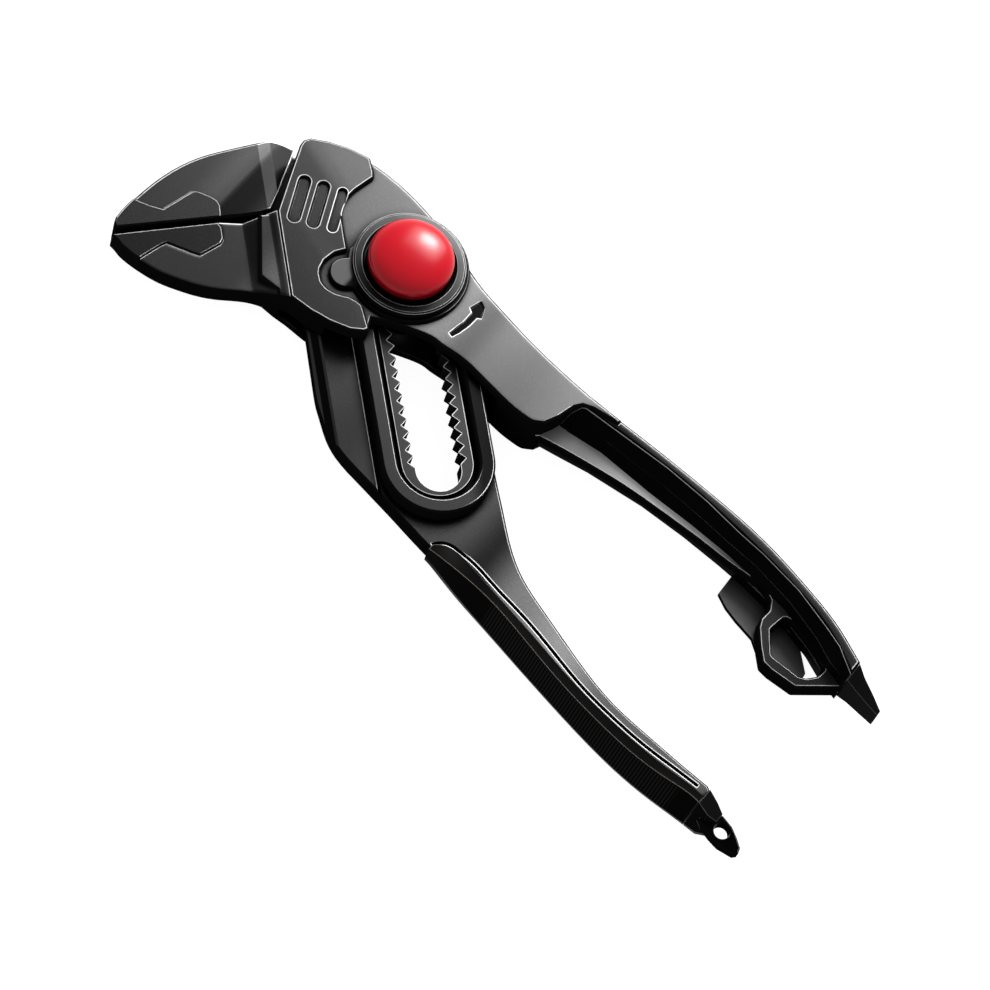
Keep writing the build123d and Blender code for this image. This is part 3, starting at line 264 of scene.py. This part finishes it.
def blackened(name, face, line=0.95, rough=0.22, turn=0.0, lines_below=0.0, all_lines_from=None, reach=0.40,
              levels=None, heading=0.0, recess=None, fade=0.0, glow=0.0, slope=1.0, corner=1.0, wall=0.004,
              metallic=1.0):
    """Blackened satin steel: grey ground flats, near-black walls darkened further as painted shade, and thin
    lines of painted highlight on the broken edges.

    face, line and wall are the levels of the flats, of the painted highlight lines and of the walls,
    whose near black is the steel's blackening darkened further as painted shade. turn is the grain's
    direction, lines_below how bright the painted highlight lines facing the front are, all_lines_from
    the X in millimetres past which those lines are as bright as the rest, and reach the width of the
    lines in millimetres. levels is the flats' brightness along a heading, painted light and shade,
    recess the heights between which engraved floors are painted black as shade, fade how far painted
    shade darkens the flats toward the front edges, glow how far a painted highlight lightens them
    toward the back ones, slope how bright the flats that slope to the back are under their painted
    shade, and corner how far painted shade blackens tight corners. metallic is how metallic the
    flats are.
    """
    graph = Graph(name)
    plain = graph.plain_normal()
    rim = graph.rounded(reach * MM, FINE_RAYS)
    flat = graph.steps(graph.upright(plain), *FLAT_UP)
    clear = graph.open_share(STEEL_OPEN_REACH, *STEEL_OPEN)
    painted_highlight = painted_edge_highlights(graph, plain, rim, flat, clear, lines_below, all_lines_from)
    cloud = graph.noise(*CLOUD_NOISE)
    speck = graph.noise(*SPECK_NOISE)
    grain = graph.noise(*GRAIN_NOISE, graph.brushed(GRAIN_STRETCH, turn))
    fine = graph.plus(graph.times(speck, SPECK_SHARE), graph.times(grain, GRAIN_SHARE))
    tone = graph.plus(graph.times(cloud, CLOUD_SHARE), fine)
    black = grey(wall)
    colour = graph.mix(tone, grey(face * (1 - TONE_SPREAD)), grey(face * (1 + TONE_SPREAD)))
    # Painted light and shade: the flats' brightness along a heading
    if levels:
        colour = graph.tinted(colour, graph.levels(graph.heading(heading), levels))
    # Painted shade on the flats that slope to the back
    if slope < 1.0:
        back_slope_shade = graph.steps(graph.part_of(plain, "Y"), *SLOPING_BACK)
        colour = graph.mix(graph.times(back_slope_shade, 1.0 - slope), colour, black)
    # Painted shade toward the flats' front edges and a painted highlight toward their back ones
    if fade or glow:
        soft = graph.part_of(graph.rounded(SOFT_EDGE_RADIUS, SOFT_RAYS), "Y")
        front_edge_shade = graph.steps(graph.times(soft, -1.0), *SOFT_EDGE_TURN)
        back_edge_highlight = graph.steps(soft, *SOFT_EDGE_TURN)
        colour = graph.mix(graph.times(front_edge_shade, fade), colour, black)
        colour = graph.mix(graph.times(back_edge_highlight, glow), colour, grey(line))
    # Painted shade: tight corners and the places under edges darkened toward black
    colour = graph.mix(graph.times(graph.less(clear), corner), colour, black)
    # Painted shade: engraved floors between two heights painted black
    if recess:
        low, high = recess
        sunk_shade = graph.between(graph.along("Z"), low * MM, high * MM, RECESS_SOFT * MM)
        colour = graph.mix(graph.times(flat, sunk_shade), colour, black)
    # Walls near black: the steel's blackening darkened further as painted shade; the painted highlight lines
    # go over all
    shaded_wall_colour = graph.mix(cloud, grey(wall * WALL_LOW), grey(wall * WALL_HIGH))
    colour = graph.mix(painted_highlight, graph.mix(flat, shaded_wall_colour, colour), grey(line))
    roughness = graph.mix_values(painted_highlight, graph.plus(rough, graph.times(grain, GRAIN_ROUGH)), LINE_ROUGH)
    metal = graph.times(graph.times(flat, graph.less(painted_highlight)), metallic)
    height = graph.plus(graph.times(grain, BUMP_GRAIN_SHARE), graph.times(speck, 1.0 - BUMP_GRAIN_SHARE))
    normal = graph.bump(height, STEEL_BUMP, STEEL_BUMP_HEIGHT, graph.rounded(STEEL_EDGE_RADIUS))
    return graph.finish(colour, roughness, normal, metal, Specular_Tint=grey(STEEL_TINT),
                        Specular_IOR_Level=0.0)


# Bright steel
GROUND_GRAIN = (1.0, 3.0, 0.6)
GROUND_STRETCH = (600.0, 7000.0, 600.0)
GROUND_CLOUD = (120.0, 3.0)
GROUND_GRAIN_SHARE = 0.6
GROUND_BUMP = 0.15
GROUND_BUMP_HEIGHT = 0.015 * MM
GROUND_EDGE_RADIUS = 0.15 * MM
GROUND_ROUGH_SPREAD = 0.12


def ground(name, tone_low, tone_high, rough):
    """Bright machined steel with a fine grinding grain."""
    graph = Graph(name)
    grain = graph.noise(*GROUND_GRAIN, graph.brushed(GROUND_STRETCH, 0.0))
    cloud = graph.noise(*GROUND_CLOUD)
    tone = graph.plus(graph.times(grain, GROUND_GRAIN_SHARE), graph.times(cloud, 1.0 - GROUND_GRAIN_SHARE))
    colour = graph.mix(tone, grey(tone_low), grey(tone_high))
    normal = graph.bump(grain, GROUND_BUMP, GROUND_BUMP_HEIGHT, graph.rounded(GROUND_EDGE_RADIUS))
    roughness = graph.plus(rough, graph.times(cloud, GROUND_ROUGH_SPREAD))
    return graph.finish(colour, roughness, normal, 1.0)


# Black plastic, with ranges and noises given as for the steel
PLASTIC_CLOUD = (60.0, 3.0)
PLASTIC_GRAIN = (2100.0, 2.0, 0.6)
PLASTIC_LOW = 0.8
PLASTIC_HIGH = 1.3
PLASTIC_ROUGH = 0.34
PLASTIC_GLOSS = 0.005
PLASTIC_BUMP = 0.6
PLASTIC_BUMP_HEIGHT = 0.12 * MM
PLASTIC_GRAIN_SHARE = 0.10
PLASTIC_EDGE_RADIUS = 0.32 * MM
PLASTIC_OPEN = (0.45, 0.85)
PLASTIC_OPEN_REACH = 2.0 * MM
RIDGE_TURNED = (0.008, 0.05)
RIDGE_UP = (0.35, 0.70)
RIDGE_BACK = (0.05, 0.3)
RIB_CREST = (-0.2, 0.9)
RIB_WALL = (0.35, 0.5)
RIB_SOFT = 1.0 * MM
RIB_SHARE = 0.7
RIB_CREST_HIGHLIGHT = 8.0


def plastic(name, base, ridge, ribs=None, far_only=0.0, warm=0.0):
    """Black moulded plastic: spark grain, painted highlight along the ridges, and fine cross ribs between two
    places with a painted highlight on their crests.

    base and ridge are the levels of the faces and of the painted highlight on the ridges, ribs where the ribs
    start and end along X and their pitch in millimetres, far_only how far the painted highlight on the ridges
    at the front is dimmed, and warm the painted highlight's warmth.
    """
    graph = Graph(name)
    plain = graph.plain_normal()
    cloud = graph.noise(*PLASTIC_CLOUD)
    grain = graph.noise(*PLASTIC_GRAIN)
    rounded = graph.rounded(PLASTIC_EDGE_RADIUS, SOFT_RAYS)
    clear = graph.open_share(PLASTIC_OPEN_REACH, *PLASTIC_OPEN)
    # Painted highlight along the ridges' upper edges, kept out of tight corners
    edge = graph.steps(graph.turned(rounded, plain), *RIDGE_TURNED)
    top_side = graph.steps(graph.part_of(rounded, "Z"), *RIDGE_UP)
    painted_highlight = graph.times(graph.times(edge, top_side), clear)
    # The painted highlight dimmer on the ridges facing the front
    if far_only:
        behind = graph.steps(graph.part_of(rounded, "Y"), *RIDGE_BACK)
        painted_highlight = graph.times(painted_highlight, graph.mix_values(behind, 1.0 - far_only, 1.0))
    colour = graph.mix(cloud, grey(base * PLASTIC_LOW), grey(base * PLASTIC_HIGH))
    colour = graph.mix(painted_highlight, colour, grey(ridge, warm))
    height = graph.times(grain, PLASTIC_GRAIN_SHARE)
    if ribs:
        low, high, pitch = ribs
        place = graph.along("X")
        wave = graph.math("SINE", graph.times(place, 2 * math.pi / (pitch * MM)), 0.0)
        inside = graph.between(place, low * MM, high * MM, RIB_SOFT)
        wall = graph.steps(graph.times(graph.facing("Y"), -1.0), *RIB_WALL)
        crest = graph.times(graph.times(graph.steps(wave, *RIB_CREST), inside), wall)
        height = graph.plus(crest, height)
        # Painted highlight: the rib crests lighter
        colour = graph.mix(graph.times(crest, RIB_SHARE), colour, grey(base * RIB_CREST_HIGHLIGHT))
    normal = graph.bump(height, PLASTIC_BUMP, PLASTIC_BUMP_HEIGHT, rounded)
    return graph.finish(colour, PLASTIC_ROUGH, normal, 0.0, Specular_IOR_Level=PLASTIC_GLOSS)


# Red button
RED_DEEP = (0.33, 0.0005, 0.006, 1.0)
RED_CLEAR = (0.41, 0.001, 0.009, 1.0)
# The foot's painted shade, its painted highlight line, and the painted shade in the ring
RED_FOOT_SHADE = (0.17, 0.001, 0.004, 1.0)
RED_FOOT_HIGHLIGHT = (0.80, 0.10, 0.14, 1.0)
RED_SUNK_SHADE = (0.003, 0.0002, 0.0004, 1.0)
FOOT_UP = (0.02, 0.30)
FOOT_LINE_FROM = 0.16
FOOT_LINE_TO = 0.34
FOOT_LINE_SOFT = 0.08
FOOT_LINE_LEFT = (0.1, 0.6)
FOOT_LINE_SHARE = 0.55
SUNK_HEIGHTS = (22.3 * MM, 23.3 * MM)
RED_CLOUD_SCALE = 40.0
RED_GRAIN_SCALE = 1500.0
RED_BUMP = 0.05
RED_BUMP_HEIGHT = 0.003 * MM
RED_ROUGH = 0.25
RED_GLOSS = 0.26


def red_button(name):
    """Glossy red plastic: painted shade darkens the dome's foot and makes the skirt near black where it is in
    its ring, with a painted highlight line on the foot's left.
    """
    graph = Graph(name)
    colour = graph.mix(graph.noise(RED_CLOUD_SCALE), RED_DEEP, RED_CLEAR)
    up = graph.facing("Z")
    # Painted shade: the dome darker where it turns down to its foot
    colour = graph.mix(graph.less(graph.steps(up, *FOOT_UP)), colour, RED_FOOT_SHADE)
    # Painted highlight: a pale line round the foot on the left
    foot_highlight = graph.between(up, FOOT_LINE_FROM, FOOT_LINE_TO, FOOT_LINE_SOFT)
    left = graph.steps(graph.times(graph.facing("X"), -1.0), *FOOT_LINE_LEFT)
    colour = graph.mix(graph.times(graph.times(foot_highlight, left), FOOT_LINE_SHARE), colour, RED_FOOT_HIGHLIGHT)
    # Painted shade: the skirt near black below the ring's top
    sunk_shade = graph.less(graph.steps(graph.along("Z"), *SUNK_HEIGHTS))
    colour = graph.mix(sunk_shade, colour, RED_SUNK_SHADE)
    normal = graph.bump(graph.noise(RED_GRAIN_SCALE), RED_BUMP, RED_BUMP_HEIGHT)
    return graph.finish(colour, RED_ROUGH, normal, 0.0, Specular_IOR_Level=RED_GLOSS)


# Painted light and shade on the flats: stops of millimetres along the material's heading, and the level there
ARM_PAINTED_LIGHT = [(-75, 0.115), (-64, 0.125), (-57, 0.18), (-54, 0.15), (-52.5, 0.028), (-48, 0.028),
              (-38, 0.10), (5, 0.113), (18, 0.09), (30, 0.12), (46, 0.165), (59, 0.16), (70, 0.045),
              (84, 0.46), (102, 0.78), (122, 0.36), (160, 0.36)]
BODY_PAINTED_LIGHT = [(-70, 0.30), (-36, 0.26), (-24, 0.66), (-5, 0.66), (10, 0.70), (17, 0.95), (27, 0.50),
               (34, 0.70), (46, 0.62), (62, 0.80), (74, 0.05), (88, 0.10), (168, 0.14)]
BLADE_PAINTED_LIGHT = [(60, 0.13), (69, 0.17), (86, 0.36), (98, 0.35), (110, 0.34), (130, 0.030), (165, 0.014)]
HEAD_PAINTED_LIGHT = [(-30, 0.12), (-22, 0.13), (-19, 0.16), (-14, 0.14), (-7.5, 0.15), (-3, 0.26), (0, 0.31),
               (14, 0.30)]
BEZEL_PAINTED_LIGHT = [(-16, 0.012), (-12, 0.028), (-4, 0.08), (8, 0.18), (15, 0.30)]
RIM_PAINTED_LIGHT = [(-17, 1.0), (6, 1.0), (12, 0.22), (19, 0.12)]
HOUSING_PAINTED_LIGHT = [(-27, 0.20), (-10.5, 0.20), (-9.0, 0.01), (17, 0.01)]

# The grain along the slot, and across the head and the inserts
SLOT_GRAIN = math.radians(-43.0)
HEAD_GRAIN = 1.1
INSERT_GRAIN = 0.85
INSERT_LOOK = {"line": 0.9, "rough": 0.24, "turn": INSERT_GRAIN, "wall": 0.006, "corner": 0.4}
LEFT_GRIP_RIBS = (80.0, 151.0, 0.95)

materials = {
    "arm": blackened("arm_blackened_steel", 0.34, turn=SLOT_GRAIN, levels=ARM_PAINTED_LIGHT, slope=0.1,
                     recess=(8.4, 9.3), all_lines_from=66.0, reach=0.58),
    "body": blackened("body_blackened_steel", 0.125, fade=0.9, glow=0.30, levels=BODY_PAINTED_LIGHT,
                      recess=(17.3, 17.8), reach=0.52),
    "cheek": blackened("rear_cheek_blackened_steel", 0.09, line=0.6),
    "head": blackened("head_plate_blackened_steel", 0.225, turn=HEAD_GRAIN, lines_below=0.85,
                      levels=HEAD_PAINTED_LIGHT, heading=70.0, reach=0.48),
    "upper_insert": blackened("upper_insert_steel", 0.032, **INSERT_LOOK),
    "lower_insert": blackened("lower_insert_steel", 0.018, **INSERT_LOOK),
    "rim": blackened("slot_rim_steel", 0.040, turn=SLOT_GRAIN, reach=0.48, levels=RIM_PAINTED_LIGHT, heading=47.0),
    "liner": blackened("liner_blackened_steel", 0.030, line=0.9, rough=0.3, turn=SLOT_GRAIN, wall=0.01,
                       lines_below=0.6, corner=0.7),
    "blade": blackened("ground_blade_steel", 0.95, rough=0.34, lines_below=0.7, levels=BLADE_PAINTED_LIGHT,
                       corner=0.15, metallic=0.0),
    "bezel": blackened("bezel_blackened_steel", 0.26, line=0.9, rough=0.28, lines_below=0.5, corner=0.6,
                       levels=BEZEL_PAINTED_LIGHT, heading=95.0),
    "housing": blackened("housing_black_satin", 0.26, line=0.35, rough=0.3, levels=HOUSING_PAINTED_LIGHT,
                         corner=0.6),
    "lug": blackened("lanyard_lug_steel", 0.001, line=0.2, rough=0.35),
    "backing": blackened("backing_dark_satin", 0.08, line=0.12, rough=0.4, corner=0.2),
    "bright": ground("bright_machined_steel", tone_low=0.40, tone_high=0.62, rough=0.25),
    "grip": plastic("grip_black_plastic", base=0.0018, ridge=0.62, far_only=0.45),
    "left_grip": plastic("left_grip_ribbed_plastic", base=0.0022, ridge=0.16, ribs=LEFT_GRIP_RIBS, warm=0.15),
    "cap": plastic("end_cap_black_plastic", base=0.0035, ridge=0.08),
    "button": red_button("button_red_gloss"),
}
finishes = {
    "slotted_arm_with_upper_jaw": "arm",
    "upper_jaw_insert": "upper_insert",
    "slot_rim": "rim",
    "toothed_slot_liner": "liner",
    "left_grip_sleeve": "left_grip",
    "left_handle_end_cap": "cap",
    "lanyard_lug": "lug",
    "pivot_pin": "bright",
    "toothed_lock_block": "bright",
    "pivot_rear_screw": "bright",
    "pin_retaining_ring": "bright",
    "push_button_cap": "button",
    "push_button_stem": "bright",
    "button_return_spring": "bright",
    "box_body_with_lower_jaw": "body",
    "rear_cheek_plate": "cheek",
    "rear_cheek_screws": "bright",
    "head_cover_plate": "head",
    "head_plate_dowels": "bright",
    "lower_jaw_insert": "lower_insert",
    "button_housing": "housing",
    "button_bezel_ring": "bezel",
    "right_grip_sleeve": "grip",
    "finger_loop_plate": "blade",
    "right_handle_end_cap": "cap",
    "loop_backing_plate": "backing",
    "backing_plate_rivets": "bright",
}
for node, finish in finishes.items():
    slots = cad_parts[node].data.materials
    slots.clear()
    slots.append(materials[finish])

# Camera, fitted to the directions of the photograph's straight edges
FOCAL_PIXELS = 4128.4
PHOTO_WIDTH = 990
SENSOR = 36.0
CAMERA_AT = Vector((207.95, -533.93, 1030.80)) * MM
RIGHT = Vector((0.78248, 0.59668, 0.17805))
DOWN = Vector((0.60914, -0.67420, -0.41762))
FORWARD = Vector((-0.12914, 0.43524, -0.89101))
CAMERA_REACH = 10.0
camera_data = bpy.data.cameras.new("camera")
camera_data.sensor_width = SENSOR
camera_data.lens = SENSOR * FOCAL_PIXELS / PHOTO_WIDTH
camera_data.clip_end = CAMERA_REACH
camera = bpy.data.objects.new("camera", camera_data)
bpy.context.scene.collection.objects.link(camera)
turned = Matrix((RIGHT, -DOWN, -FORWARD)).transposed().to_4x4()
camera.matrix_world = Matrix.Translation(CAMERA_AT) @ turned
bpy.context.scene.camera = camera

# Floor: pale, white to the camera and in reflections, with a faint shadow of the object
FLOOR_HALF = 4.0
FLOOR_GAP = 0.2 * MM
FLOOR_GREY = 0.22
FLOOR_SEEN = 0.94
FLOOR_MIRRORED = 0.86
corners = [(-FLOOR_HALF, -FLOOR_HALF, 0), (FLOOR_HALF, -FLOOR_HALF, 0),
           (FLOOR_HALF, FLOOR_HALF, 0), (-FLOOR_HALF, FLOOR_HALF, 0)]
floor_mesh = bpy.data.meshes.new("floor")
floor_mesh.from_pydata(corners, [], [(0, 1, 2, 3)])
floor = bpy.data.objects.new("floor", floor_mesh)
floor.location = (0, 0, -FLOOR_GAP)
bpy.context.scene.collection.objects.link(floor)


def floor_material():
    """Pale grey to the lamps, with a glow that only straight looks and reflections see."""
    graph = Graph("floor_white")
    diffuse = graph.node("ShaderNodeBsdfDiffuse")
    diffuse.inputs["Color"].default_value = grey(FLOOR_GREY)
    glow = graph.node("ShaderNodeEmission")
    glow.inputs["Color"].default_value = WHITE
    path = graph.node("ShaderNodeLightPath")
    straight = graph.times(path.outputs["Is Camera Ray"], FLOOR_SEEN)
    mirrored = graph.math("MAXIMUM", path.outputs["Is Glossy Ray"], path.outputs["Is Transmission Ray"])
    strength = graph.math("MAXIMUM", straight, graph.times(mirrored, FLOOR_MIRRORED))
    graph.feed(strength, glow.inputs["Strength"])
    both = graph.node("ShaderNodeAddShader")
    graph.join(diffuse.outputs[0], both.inputs[0])
    graph.join(glow.outputs[0], both.inputs[1])
    graph.join(both.outputs[0], graph.output.inputs["Surface"])
    return graph.material


floor_mesh.materials.append(floor_material())

# World: a white horizon under a plain grey sky
SKY_LOW = 0.05
SKY_HIGH = 0.55
HORIZON_LEVEL = 1.0
ZENITH_LEVEL = 0.55
world = bpy.data.worlds.new("studio")
bpy.context.scene.world = world
world.use_nodes = True
tree = world.node_tree
tree.nodes.clear()
out = tree.nodes.new("ShaderNodeOutputWorld")
direction = tree.nodes.new("ShaderNodeTexCoord")
split = tree.nodes.new("ShaderNodeSeparateXYZ")
tree.links.new(direction.outputs["Generated"], split.inputs[0])
sky = tree.nodes.new("ShaderNodeMapRange")
sky.interpolation_type = "SMOOTHSTEP"
sky.inputs["From Min"].default_value = SKY_LOW
sky.inputs["From Max"].default_value = SKY_HIGH
sky.inputs["To Min"].default_value = HORIZON_LEVEL
sky.inputs["To Max"].default_value = ZENITH_LEVEL
tree.links.new(split.outputs["Z"], sky.inputs["Value"])
background = tree.nodes.new("ShaderNodeBackground")
background.inputs["Color"].default_value = WHITE
tree.links.new(sky.outputs["Result"], background.inputs["Strength"])
tree.links.new(background.outputs[0], out.inputs["Surface"])


def softbox(name, at, towards, width, height, watts):
    """A rectangular area light, its face turned to a point, in metres."""
    data = bpy.data.lights.new(name, "AREA")
    data.shape = "RECTANGLE"
    data.size = width
    data.size_y = height
    data.energy = watts
    lamp = bpy.data.objects.new(name, data)
    lamp.location = at
    aim = Vector(towards) - Vector(at)
    lamp.rotation_euler = aim.to_track_quat("-Z", "Y").to_euler()
    bpy.context.scene.collection.objects.link(lamp)


# Lamps: one for the flats' soft shine, two for the highlight on the dome and the halo round it
PLIERS = (0.0, 0.0, 0.0)
DOME = (0.0, 0.0, 0.02)
softbox("back_panel", at=(0.0, 0.53, 0.42), towards=PLIERS, width=0.27, height=0.56, watts=1.5)
softbox("button_glint", at=(-0.060, 0.45, 0.37), towards=DOME, width=0.17, height=0.17, watts=4.2)
softbox("button_halo", at=(-0.060, 0.47, 0.38), towards=DOME, width=0.44, height=0.44, watts=2.5)

bpy.context.scene.view_settings.view_transform = "Standard"
